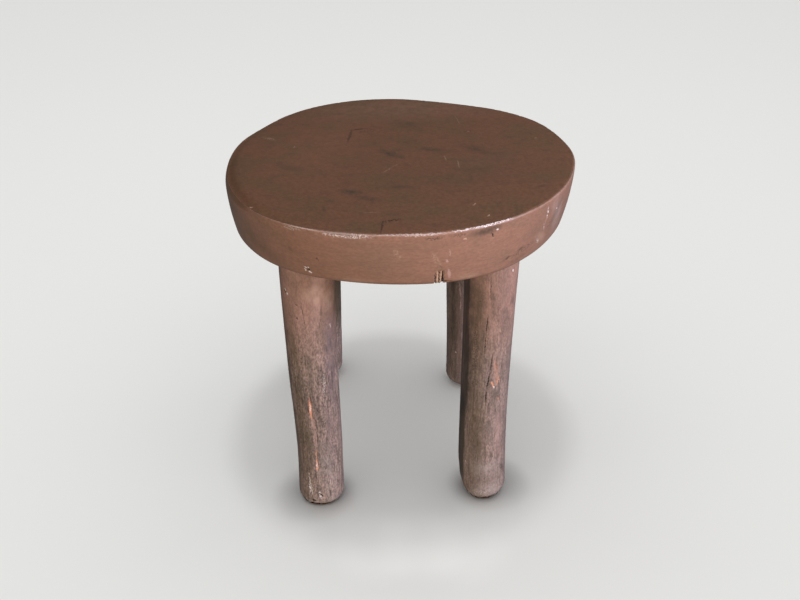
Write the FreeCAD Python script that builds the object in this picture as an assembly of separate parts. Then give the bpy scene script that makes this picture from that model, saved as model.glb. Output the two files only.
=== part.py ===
"""Low round stool of dark hand-cut wood: a thick seat on four pole legs.

Each leg is a round pole with a flat shoulder and a blind tenon. The tenon is split from its tip, and a
hidden wedge in the split spreads it inside the undercut socket as the leg is knocked in, so the joint
holds without glue or nails. The frame has +Z up, the floor at z = 0 and the seat's centre above the
origin. The front of the stool faces -Y. All sizes are in millimetres.
"""

import FreeCAD, Part
import math
import os
from dataclasses import dataclass
from typing import Tuple

from FreeCAD import Vector

# Seat
overall_height = 330.0
seat_radius = 166.0
seat_thickness = 52.0
seat_side_taper = 7.5
seat_side_belly = 1.7
rim_rounding = 3.5
lower_edge_rounding = 4.0

# Legs
leg_radius = 24.4
leg_rim_inset = 4.0
leg_lean = 20.0
leg_bend = 1.7
foot_rounding = 11.0
worn_corner_height = 28.0
worn_corner_depth = 14.0

# Joint between each leg and the seat
tenon_radius = 15.0
tenon_root_length = 8.0
tenon_end_gap = 1.5
tenon_spread = 1.5
kerf_width = 1.6
wedge_nose_gap = 3.0
wood_above_socket = 18.0
fit_gap = 0.2

# How far a cutting or joining tool runs past the face that it starts from
overrun = 5.0

# Straight steps that stand in for a quarter round, and for the seat's bellied side
rounding_steps = 3
side_steps = 4

# Levels worked out from the sizes above
underside = overall_height - seat_thickness
socket_floor = overall_height - wood_above_socket
tenon_tip = socket_floor - tenon_end_gap
kerf_root = underside + tenon_root_length

# The seat's radius at even steps anticlockwise from +X, as shares of its nominal radius
rim_shares = (0.994, 1.001, 0.991, 0.953, 0.987, 1.011, 1.003, 0.981,
              0.990, 1.018, 1.034, 1.017, 0.992, 0.994, 0.990, 0.988)
lower_edge_shares = (0.980, 0.991, 0.983, 0.953, 0.976, 1.000, 1.004, 0.988,
                     1.004, 1.027, 1.034, 1.005, 0.993, 1.008, 0.986, 0.975)

# Heights of a leg's sections from the floor to its shoulder, as shares of the way
section_height_shares = (0.0, 0.12, 0.25, 0.38, 0.52, 0.66, 0.82, 1.0)


@dataclass(frozen=True)
class Leg:
    """One hand-cut leg, described by how it departs from the nominal pole.

    The bearing is where its head sits under the rim, in degrees anticlockwise from +X. The inset, lean,
    girth and bend are shares of the sizes above, and the outline shares give its section at even steps
    anticlockwise from +X.
    """

    place: str
    bearing: float
    inset_share: float
    lean_shares: Tuple[float, float]
    girth_shares: Tuple[float, ...]
    bend_shares: Tuple[float, ...]
    outline_shares: Tuple[float, ...]
    corner_is_worn: bool = False


legs = (
    Leg("front_left", bearing=229.9, inset_share=2.05, lean_shares=(-0.05, -0.30),
        girth_shares=(0.955, 0.925, 0.914, 0.930, 0.960, 0.968, 0.978, 0.985),
        bend_shares=(0.0, 0.35, 0.60, 0.10, -0.55, -0.65, -0.50, 0.0),
        outline_shares=(1.0, 0.985, 1.015, 0.990, 1.0, 1.015, 0.980, 1.010)),
    Leg("front_right", bearing=308.3, inset_share=1.10, lean_shares=(0.05, -0.10),
        girth_shares=(0.965, 0.955, 0.930, 0.930, 0.940, 0.955, 0.985, 1.025),
        bend_shares=(0.0, -0.40, -0.85, -1.0, -0.85, -0.60, -0.25, 0.0),
        outline_shares=(1.0, 1.010, 0.985, 1.015, 1.0, 0.980, 1.005, 0.990),
        corner_is_worn=True),
    Leg("rear_left", bearing=134.3, inset_share=0.68, lean_shares=(-0.35, 0.95),
        girth_shares=(0.940, 0.930, 0.935, 0.945, 0.955, 0.965, 0.980, 1.0),
        bend_shares=(0.0, 0.10, 0.25, 0.45, 0.55, 0.45, 0.20, 0.0),
        outline_shares=(1.0, 0.990, 0.985, 1.010, 1.0, 1.010, 0.990, 1.015)),
    Leg("rear_right", bearing=53.3, inset_share=0.66, lean_shares=(0.05, -0.50),
        girth_shares=(0.945, 0.935, 0.930, 0.940, 0.950, 0.960, 0.975, 1.0),
        bend_shares=(0.0, 0.15, 0.10, -0.25, -0.50, -0.45, -0.20, 0.0),
        outline_shares=(1.0, 1.015, 0.990, 0.985, 1.0, 0.990, 1.015, 0.985)),
)


def hand_cut_curve(centre, radius, shares):
    """Smooth closed curve around a centre, whose radius follows the shares at even steps."""
    count = len(shares)
    points = []
    for index, share in enumerate(shares):
        angle = math.tau * index / count
        points.append(centre + Vector(math.cos(angle), math.sin(angle), 0) * (radius * share))
    curve = Part.BSplineCurve()
    curve.interpolate(Points=points, PeriodicFlag=True, Parameters=[float(step) for step in range(count + 1)])
    return curve


def skin_through(curves):
    """Solid whose side runs straight from each closed curve to the next, with flat ends."""
    wires = [Part.Wire(curve.toShape()) for curve in curves]
    return Part.makeLoft(wires, True, True)


def quarter_round(radius):
    """Pairs of (in from the side, up from the end) along an edge rounding, from the end to the side."""
    angles = [math.pi / 2 * step / rounding_steps for step in range(rounding_steps + 1)]
    return [(radius * (1 - math.sin(angle)), radius * (1 - math.cos(angle))) for angle in angles]


def extruded(outline, reach):
    """Solid that carries a closed flat outline of points along a vector."""
    return Part.Face(Part.makePolygon(outline + outline[:1])).extrude(reach)


def seat_curve(height, inset=0):
    """The seat's outline at a height above its underside, drawn in evenly by the inset.

    Its side leans out towards the rim and bellies along a parabola, and its outline changes evenly from
    that of the lower edge to that of the rim.
    """
    way_up = height / seat_thickness
    drawn_in = seat_side_taper * (1 - way_up) + inset
    belly = seat_side_belly * 4 * way_up * (1 - way_up)
    shares = [lower + (rim - lower) * way_up for lower, rim in zip(lower_edge_shares, rim_shares)]
    return hand_cut_curve(Vector(0, 0, underside + height), seat_radius - drawn_in + belly, shares)


def head_centre(leg):
    """Centre of a leg's shoulder: its outer face stands a little in from the seat's lower edge."""
    edge_point = seat_curve(0).value(leg.bearing / 360 * len(lower_edge_shares))
    from_axis = Vector(edge_point.x, edge_point.y, 0)
    head_radius = leg_radius * leg.girth_shares[-1]
    distance = from_axis.Length - leg_rim_inset * leg.inset_share - head_radius
    return from_axis.normalize() * distance + Vector(0, 0, underside)


def split_half_width(height):
    """Half the width of a tenon's opened split at a height."""
    way_up = (height - kerf_root) / (tenon_tip - kerf_root)
    return kerf_width / 2 + tenon_spread * way_up


def build_socket(centre):
    """Round socket for one tenon: straight at its mouth, and undercut where the tenon spreads."""
    mouth_radius = tenon_radius + fit_gap
    floor_radius = mouth_radius + split_half_width(socket_floor) - kerf_width / 2
    mouth = Part.makeCylinder(mouth_radius, kerf_root - underside + overrun,
                              Vector(centre.x, centre.y, underside - overrun))
    undercut = Part.makeCone(mouth_radius, floor_radius, socket_floor - kerf_root,
                             Vector(centre.x, centre.y, kerf_root))
    return mouth.fuse(undercut)


def build_seat():
    """Round seat with a bellied side, rounded edges and a socket for each leg."""
    curves = [seat_curve(up, inset) for inset, up in quarter_round(lower_edge_rounding)]
    side_height = seat_thickness - rim_rounding - lower_edge_rounding
    for step in range(1, side_steps):
        curves.append(seat_curve(lower_edge_rounding + side_height * step / side_steps))
    for inset, down in reversed(quarter_round(rim_rounding)):
        curves.append(seat_curve(seat_thickness - down, inset))
    seat = skin_through(curves)
    for leg in legs:
        seat = seat.cut(build_socket(head_centre(leg)))
    return seat


def build_tenon_half(side):
    """One half of the split tenon, pushed outwards at its tip by the wedge. Side is 1 or -1."""
    flat_y = side * kerf_width / 2
    flat_x = math.sqrt(tenon_radius ** 2 - flat_y ** 2)
    start = Vector(flat_x, flat_y, kerf_root)
    end = Vector(-flat_x, flat_y, kerf_root)
    arc = Part.Arc(start, Vector(0, side * tenon_radius, kerf_root), end).toShape()
    flat = Part.makeLine(end, start)
    half_disc = Part.Face(Part.Wire([arc, flat]))
    return half_disc.extrude(Vector(0, side * tenon_spread, tenon_tip - kerf_root))


def leg_centre(leg, height_share, bend_share=0):
    """Centre of a leg's section at a share of the way up from the floor to its shoulder."""
    head = head_centre(leg)
    lean_x, lean_y = leg.lean_shares
    way_down = 1 - height_share
    return Vector(head.x + leg_lean * lean_x * way_down + leg_bend * bend_share,
                  head.y + leg_lean * lean_y * way_down,
                  underside * height_share)


def build_pole(leg):
    """The leg below its shoulder: a crooked hand-cut pole with a rounded foot."""
    foot_radius = leg_radius * leg.girth_shares[0]
    curves = [hand_cut_curve(leg_centre(leg, up / underside), foot_radius - inset, leg.outline_shares)
              for inset, up in quarter_round(foot_rounding)]
    sections = zip(section_height_shares, leg.girth_shares, leg.bend_shares)
    for height_share, girth_share, bend_share in list(sections)[1:]:
        centre = leg_centre(leg, height_share, bend_share)
        curves.append(hand_cut_curve(centre, leg_radius * girth_share, leg.outline_shares))
    pole = skin_through(curves)
    if leg.corner_is_worn:
        pole = pole.cut(build_worn_corner(leg_centre(leg, 0), foot_radius))
    return pole


def build_worn_corner(foot, foot_radius):
    """What years of standing tilted have worn off the left of a foot: a slanting slice."""
    high_x = foot.x - foot_radius
    low_x = high_x + worn_corner_depth
    far_x = high_x - leg_radius
    near_y = foot.y - leg_radius - overrun
    top = worn_corner_height + overrun
    run_on = overrun * worn_corner_depth / worn_corner_height
    outline = [
        Vector(low_x + run_on, near_y, -overrun),
        Vector(high_x - run_on, near_y, top),
        Vector(far_x, near_y, top),
        Vector(far_x, near_y, -overrun),
    ]
    return extruded(outline, Vector(0, 2 * (leg_radius + overrun), 0))


def build_leg(leg):
    """Pole, shoulder and split tenon in one piece of wood."""
    head = head_centre(leg)
    root = Part.makeCylinder(tenon_radius, kerf_root - underside + overrun, Vector(0, 0, underside - overrun))
    tenon = root.fuse([build_tenon_half(1), build_tenon_half(-1)])
    tenon.translate(Vector(head.x, head.y, 0))
    return build_pole(leg).fuse(tenon).removeSplitter()


def build_wedge(leg):
    """Hidden wedge in a tenon's split: its thick end bottoms on the socket's floor."""
    head = head_centre(leg)
    half_width = tenon_radius - fit_gap
    left_x = head.x - half_width
    nose = kerf_root + wedge_nose_gap
    nose_half = split_half_width(nose) - fit_gap
    back_half = split_half_width(socket_floor) - fit_gap
    outline = [
        Vector(left_x, head.y - nose_half, nose),
        Vector(left_x, head.y + nose_half, nose),
        Vector(left_x, head.y + back_half, socket_floor),
        Vector(left_x, head.y - back_half, socket_floor),
    ]
    return extruded(outline, Vector(2 * half_width, 0, 0))


def main():
    """Build every piece and write it to its own file."""
    os.makedirs("parts", exist_ok=True)
    pieces = {"seat": build_seat()}
    for leg in legs:
        pieces["leg_" + leg.place] = build_leg(leg)
        pieces["wedge_" + leg.place] = build_wedge(leg)
    for name, shape in pieces.items():
        shape.exportStep("parts/" + name + ".step")
        box = shape.BoundBox
        print(f"{name}: {len(shape.Solids)} solid, valid {shape.isValid()}, volume {shape.Volume:.0f}, "
              f"x {box.XMin:.1f} to {box.XMax:.1f}, y {box.YMin:.1f} to {box.YMax:.1f}, "
              f"z {box.ZMin:.1f} to {box.ZMax:.1f}")


main()
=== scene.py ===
"""Dresses a low round stool of dark hand-cut wood: worn surfaces, finishes, light and camera.

The seat and the four legs are modelled again as fine meshes with their hewing marks, grain, cracks and
chips, and stand where their solids stand. Lengths are in millimetres, apart from those of the floor, the
lamps and the camera, which are in metres.
Bearings are in degrees anticlockwise from +X, seen from above, and the front of the stool faces -Y.
"""

import logging
import math
from dataclasses import dataclass, replace
from enum import Enum, Flag
from typing import Dict, List, Optional, Sequence, Tuple, Union

import bmesh
import bpy
import numpy as np
from mathutils import Euler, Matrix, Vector


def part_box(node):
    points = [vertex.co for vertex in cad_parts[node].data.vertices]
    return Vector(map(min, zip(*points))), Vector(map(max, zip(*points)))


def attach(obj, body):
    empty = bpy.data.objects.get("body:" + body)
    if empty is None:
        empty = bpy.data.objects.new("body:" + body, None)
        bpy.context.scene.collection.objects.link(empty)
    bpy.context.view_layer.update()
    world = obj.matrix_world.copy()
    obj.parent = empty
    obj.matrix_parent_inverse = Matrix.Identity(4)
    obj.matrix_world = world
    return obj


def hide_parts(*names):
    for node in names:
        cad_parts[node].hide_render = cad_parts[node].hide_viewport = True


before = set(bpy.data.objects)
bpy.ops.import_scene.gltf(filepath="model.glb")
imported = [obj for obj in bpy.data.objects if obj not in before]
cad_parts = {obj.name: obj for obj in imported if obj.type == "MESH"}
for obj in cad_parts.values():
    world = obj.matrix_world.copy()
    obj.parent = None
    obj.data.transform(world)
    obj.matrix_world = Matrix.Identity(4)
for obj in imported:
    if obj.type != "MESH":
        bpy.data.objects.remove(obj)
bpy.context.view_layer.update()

log = logging.getLogger("stool")

Colour = Tuple[float, float, float]
Place = Tuple[float, float]
Range = Tuple[float, float]
Size = Tuple[float, float, float]
Amount = Union[float, np.ndarray]
Socket = bpy.types.NodeSocket
Feed = Union[float, Size, Socket]

MM = 0.001
SEAM_BEARING = 90.0
NOISE_TABLE = 32
USUAL_SHEEN = 0.5
ENDLESS = 1e6
TINY = 1e-9
WELD_REACH = 1e-7


class Tone(Enum):
    """What shows inside a mark, in the order in which the tones lie over each other.

    Besides real stains, cracks, chips and wear, some olive, umber, stain and soot marks are painted shade,
    and some rose, bare, raw and chalk marks are painted highlight, sheen and light; the tables' comments
    say which.
    """

    OLIVE = "old grime"
    UMBER = "polished dark"
    MAUVE = "weathered"
    ROSE = "rubbed smooth"
    STAIN = "dark stain"
    BARE = "bare wood"
    RAW = "fresh splinter"
    CHALK = "chipped pale"
    SOOT = "deep or burnt"


class Face(Enum):
    """Which face of its piece a mark lies on, and so how its two numbers are read."""

    SIDE = "bearing and height"
    TOP = "x and y"


class Look(Flag):
    """How a mark is drawn.

    A ragged mark breaks up into flecks, a soft one fades out from its middle and is patchy, and a blunt
    one keeps its width nearly to its ends.
    """

    PLAIN = 0
    RAGGED = 1
    SOFT = 2
    BLUNT = 4


@dataclass(frozen=True)
class Mark:
    """A crack, chip, stain or scratch: a long oval from one place to another.

    A place is a bearing and a height above the piece's lowest point, or x and y on the seat's top. The
    depth is how far the surface sinks there.
    """

    tone: Tone
    look: Look
    start: Place
    end: Place
    width: float
    strength: float = 1.0
    depth: float = 0.0
    face: Face = Face.SIDE


Table = Dict[Tuple[Tone, Look], Sequence[Sequence[Union[Place, float]]]]


def read_marks(table: Table, face: Face = Face.SIDE) -> Tuple[Mark, ...]:
    """Turns a table into the marks of one face.

    Args:
        table: By tone and look, a row for each mark with its start, its end, its width and, where they
            aren't 1 and 0, its strength and its depth.
        face: The face on which they lie.

    Returns:
        The marks.
    """
    return tuple(Mark(tone, look, *row, face=face) for (tone, look), rows in table.items() for row in rows)


def timber_noise(points: np.ndarray, cell: Size, seed: int) -> np.ndarray:
    """Smooth random waves in space, long along the grain if the cell is.

    Formula: random values from -1 to 1 at the corners of boxes of the cell's size, blended across each
    box by 3t^2 - 2t^3 along each axis.

    Args:
        points: Places, with x, y and z last.
        cell: The size of a box along x, y and z.
        seed: Which random values to use.

    Returns:
        One value from -1 to 1 for each place.
    """
    table = np.random.default_rng(seed).uniform(-1, 1, (NOISE_TABLE,) * 3)
    place = points / np.array(cell)
    corner = np.floor(place).astype(int)
    part = place - corner
    blend = part * part * (3 - 2 * part)
    total = np.zeros(points.shape[:-1])
    for step in np.ndindex(2, 2, 2):
        weight = np.prod(np.where(np.array(step) == 1, blend, 1 - blend), axis=-1)
        index = (corner + np.array(step)) % NOISE_TABLE
        total += weight * table[index[..., 0], index[..., 1], index[..., 2]]
    return total


@dataclass(frozen=True)
class Waves:
    """Random waves on a surface: their height, the size of one, and their seed."""

    height: float
    cell: Size
    seed: int

    def over(self, points: np.ndarray, piece_seed: int = 0) -> np.ndarray:
        """How high they are at each place, with the piece's own seed added to theirs."""
        return self.height * timber_noise(points, self.cell, self.seed + piece_seed)


def smooth_step(value: np.ndarray, low: Amount, high: Amount) -> np.ndarray:
    """0 below low, 1 above high, and 3t^2 - 2t^3 between them."""
    part = np.clip((value - low) / (high - low), 0, 1)
    return part * part * (3 - 2 * part)


def round_curve(shares: Sequence[float], bearing: np.ndarray) -> np.ndarray:
    """A closed smooth curve through values at even steps of a turn, by the Catmull-Rom formula.

    Args:
        shares: The values, the first at bearing 0.
        bearing: Where to read the curve, in degrees.

    Returns:
        The curve's value at each bearing.
    """
    values = np.array(shares)
    place = bearing / 360 * len(values)
    index = np.floor(place).astype(int)
    part = place - index
    before, here, after, beyond = (values[(index + step) % len(values)] for step in (-1, 0, 1, 2))
    bend = 2 * before - 5 * here + 4 * after - beyond
    twist = 3 * (here - after) + beyond - before
    return here + part / 2 * (after - before + part * (bend + part * twist))


def eased_table(heights: np.ndarray, at: Sequence[float], values: Sequence[float],
                reach: float) -> np.ndarray:
    """Reads a table with its corners rounded: the mean of five straight-line readings about each height.

    Args:
        heights: Where to read.
        at: The table's heights.
        values: The table's values.
        reach: How far above and below each height the readings go.

    Returns:
        One value for each height.
    """
    offsets = np.linspace(-reach, reach, 5)
    return np.mean([np.interp(heights + offset, at, values) for offset in offsets], axis=0)


def grid_normals(points: np.ndarray) -> np.ndarray:
    """Outward normals of a grid of rings, from the cross product of its two directions.

    Args:
        points: Rings of places, anticlockwise, from the bottom of the piece to its top.

    Returns:
        A unit normal for each place.
    """
    around = np.roll(points, -1, axis=1) - np.roll(points, 1, axis=1)
    upwards = np.gradient(points, axis=0)
    normals = np.cross(around, upwards)
    lengths = np.linalg.norm(normals, axis=-1, keepdims=True)
    return normals / np.maximum(lengths, TINY)


def sinking(marks: Sequence[Mark], bearing: np.ndarray, height: np.ndarray, radius: float,
            rough: np.ndarray) -> np.ndarray:
    """How deep the marks on a side cut into it.

    Formula: with the side unrolled, depth x (1 - (distance from the mark's middle line / half its
    width)^2) where that is above zero, and the deepest mark wins.

    Args:
        marks: The marks of the piece.
        bearing: The bearing of each place on the side.
        height: The height of each place above the piece's lowest point.
        radius: The radius at which the side is unrolled.
        rough: Noise from -1 to 1, which makes the marks' edges uneven.

    Returns:
        The depth at each place.
    """
    deepest = np.zeros(bearing.shape)
    for mark in marks:
        if mark.depth and mark.face is Face.SIDE:
            turn = np.radians((bearing - mark.start[0] + 180) % 360 - 180) * radius
            rise = height - mark.start[1]
            run = np.array((math.radians(mark.end[0] - mark.start[0]) * radius,
                            mark.end[1] - mark.start[1]))
            along = np.clip((turn * run[0] + rise * run[1]) / max(run @ run, TINY), 0, 1)
            away = np.hypot(turn - along * run[0], rise - along * run[1])
            half = mark.width / 2 * (1 + rough / 2)
            deepest = np.maximum(deepest, mark.depth * (1 - (away / half) ** 2))
    return deepest


@dataclass(frozen=True)
class Pattern:
    """A noise in a finish, and the range of it that is carried to another range."""

    size: Size
    detail: float
    shift: float
    low: float
    high: float
    to_low: float = 0.0
    to_high: float = 1.0
    distortion: float = 0.0


FRAY = Pattern((1.25, 1.25, 0.9), 2.0, 11.0, 0.47, 0.57)
PATCHES = Pattern((7.0, 7.0, 11.0), 4.0, 23.0, 0.36, 0.62, to_low=0.45)
BLOTS = Pattern((11.0, 10.0, 15.0), 7.0, 31.0, 0.50, 0.72, distortion=0.2)
GAPS = Pattern((1.5, 1.5, 13.0), 3.0, 13.0, 0.60, 0.68)
PITS = Pattern((1.2, 1.2, 2.4), 2.0, 19.0, 0.63, 0.69)
RUBBING = Pattern((5.0, 5.0, 2.0), 4.0, 5.0, 0.30, 0.60, to_low=0.35)


class Bench:
    """The nodes of one material, with short names for the ones that the finishes share."""

    def __init__(self, name: str) -> None:
        """Starts an empty material and reads places on it in millimetres.

        Args:
            name: The material's name.
        """
        self.material = bpy.data.materials.new(name)
        self.material.use_nodes = True
        self.tree = self.material.node_tree
        self.tree.nodes.clear()
        coordinates = self.node("ShaderNodeTexCoord")
        self.object_mm = self.stretched(coordinates.outputs["Object"], (MM, MM, MM))
        unrolled = self.node("ShaderNodeUVMap", uv_map="unrolled")
        self.unrolled_mm = self.stretched(unrolled.outputs["UV"], (MM, MM, MM))

    def node(self, kind: str, sockets: Optional[Dict[Union[int, str], Feed]] = None,
             **settings: Union[bool, str]) -> bpy.types.Node:
        """A node with its settings, its constants and its links.

        Args:
            kind: Blender's name for the node.
            sockets: For each input, by name or number, a constant or the output that feeds it.
            settings: The node's own properties.

        Returns:
            The node.
        """
        made = self.tree.nodes.new(kind)
        for name, value in settings.items():
            setattr(made, name, value)
        for key, value in (sockets or {}).items():
            if isinstance(value, Socket):
                self.tree.links.new(value, made.inputs[key])
            else:
                made.inputs[key].default_value = value
        return made

    def math(self, operation: str, first: Feed, second: Feed) -> Socket:
        """One sum on numbers or outputs."""
        return self.node("ShaderNodeMath", {0: first, 1: second}, operation=operation).outputs[0]

    def vector(self, operation: str, first: Feed, second: Feed) -> Socket:
        """One sum on vectors."""
        return self.node("ShaderNodeVectorMath", {0: first, 1: second}, operation=operation).outputs[0]

    def stretched(self, vector: Socket, size: Size) -> Socket:
        """The vector divided by a size, so that one unit of a pattern is as long as that size."""
        return self.vector("MULTIPLY", vector, tuple(1 / length for length in size))

    def noise(self, size: Size, detail: float, distortion: float = 0.0, shift: float = 0.0) -> Socket:
        """Random waves from 0 to 1 whose usual length along each axis is the size, in millimetres."""
        moved = self.vector("ADD", self.stretched(self.object_mm, size), (shift,) * 3)
        return self.node("ShaderNodeTexNoise", {
            "Vector": moved, "Scale": 1.0, "Detail": detail, "Distortion": distortion}).outputs["Fac"]

    def pattern(self, kind: Pattern) -> Socket:
        """The shares of a pattern."""
        waves = self.noise(kind.size, kind.detail, kind.distortion, kind.shift)
        return self.between(waves, kind.low, kind.high, kind.to_low, kind.to_high)

    def between(self, value: Socket, low: float, high: float, to_low: float = 0.0,
                to_high: float = 1.0) -> Socket:
        """The value carried smoothly from one range to another and held at its ends."""
        return self.node("ShaderNodeMapRange", {0: value, 1: low, 2: high, 3: to_low, 4: to_high},
                         interpolation_type="SMOOTHSTEP").outputs[0]

    def mix(self, share: Feed, under: Feed, over: Feed) -> Socket:
        """One colour laid over another by a share from 0 to 1."""
        colours = {6: self.opaque(under), 7: self.opaque(over), 0: share}
        return self.node("ShaderNodeMix", colours, data_type="RGBA").outputs[2]

    @staticmethod
    def opaque(colour: Feed) -> Union[Socket, Tuple[float, ...]]:
        """A colour with the fourth number that a socket wants, or the output as it is."""
        return colour if isinstance(colour, Socket) else (*colour, 1.0)

    def attribute(self, name: str) -> Socket:
        """A number that the mesh holds at each point."""
        return self.node("ShaderNodeAttribute", attribute_name=name).outputs["Fac"]

    def mask(self, marks: Sequence[Mark], radius: float, tone: Tone, shake: "Shake") -> Optional[Socket]:
        """Where the marks of one tone lie, from 0 to 1.

        Args:
            marks: The marks of the piece.
            radius: The radius at which its side is unrolled.
            tone: The tone to look for.
            shake: The noises that make marks look natural.

        Returns:
            The greatest share of all the marks of that tone, or nothing if there are none.
        """
        total = None
        for mark in marks:
            if mark.tone is tone:
                share = self.oval(mark, radius, shake)
                for look, noise in ((Look.RAGGED, shake.fray), (Look.SOFT, shake.patches)):
                    if look in mark.look:
                        share = self.math("MULTIPLY", share, noise)
                if mark.face is Face.TOP:
                    share = self.math("MULTIPLY", share, self.attribute("smooth"))
                total = share if total is None else self.math("MAXIMUM", total, share)
        return total

    def oval(self, mark: Mark, radius: float, shake: "Shake") -> Socket:
        """The oval of one mark, its strength at its middle and 0 outside.

        Formula: the mark's frame is turned and stretched so that its oval is the unit circle, and its
        share falls from its strength to 0 as the distance from the middle goes from a half to one, or
        from nothing to one if it is soft. A blunt mark takes the length of (x^2, y^2) for the distance.

        Args:
            mark: The mark.
            radius: The radius at which its side is unrolled.
            shake: The noises that make marks look natural.

        Returns:
            The mark's share.
        """
        flat = mark.face is Face.TOP
        scale = 1.0 if flat else math.radians(1) * radius
        start = Vector((mark.start[0] * scale, mark.start[1]))
        end = Vector((mark.end[0] * scale, mark.end[1]))
        run = end - start
        half_length = run.length / 2 + mark.width / 2
        framed = self.node("ShaderNodeMapping", {
            "Vector": shake.top if flat else shake.side, "Location": (*((start + end) / 2), 0.0),
            "Rotation": (0.0, 0.0, math.atan2(run.y, run.x)),
            "Scale": (half_length, mark.width / 2, ENDLESS)}, vector_type="TEXTURE").outputs[0]
        if Look.BLUNT in mark.look:
            framed = self.vector("MULTIPLY", framed, framed)
        distance = self.node("ShaderNodeVectorMath", {0: framed}, operation="LENGTH").outputs["Value"]
        return self.between(distance, 0.0 if Look.SOFT in mark.look else 0.5, 1.0, mark.strength, 0.0)


@dataclass
class Shake:
    """The noises that make marks look natural, and both ways of reading places, already shaken.

    The fray breaks up ragged marks and the patches are those of soft ones. The swing is how far places
    are shaken along each axis, and the scale is how many waves of that a millimetre holds.
    """

    side: Socket
    top: Socket
    fray: Socket
    patches: Socket

    scale = 0.55
    swing = (3.4, 3.4, 0.0)

    @classmethod
    def on(cls, bench: Bench) -> "Shake":
        """Makes the nodes on a bench.

        Args:
            bench: The material's bench.

        Returns:
            The noises.
        """
        loose = bench.node("ShaderNodeTexNoise", {
            "Vector": bench.object_mm, "Scale": cls.scale, "Detail": 2.0})
        centred = bench.vector("SUBTRACT", loose.outputs["Color"], (0.5, 0.5, 0.5))
        wobble = bench.vector("MULTIPLY", centred, cls.swing)
        side, top = (bench.vector("ADD", base, wobble) for base in (bench.unrolled_mm, bench.object_mm))
        return cls(side, top, bench.pattern(FRAY), bench.pattern(PATCHES))


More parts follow.
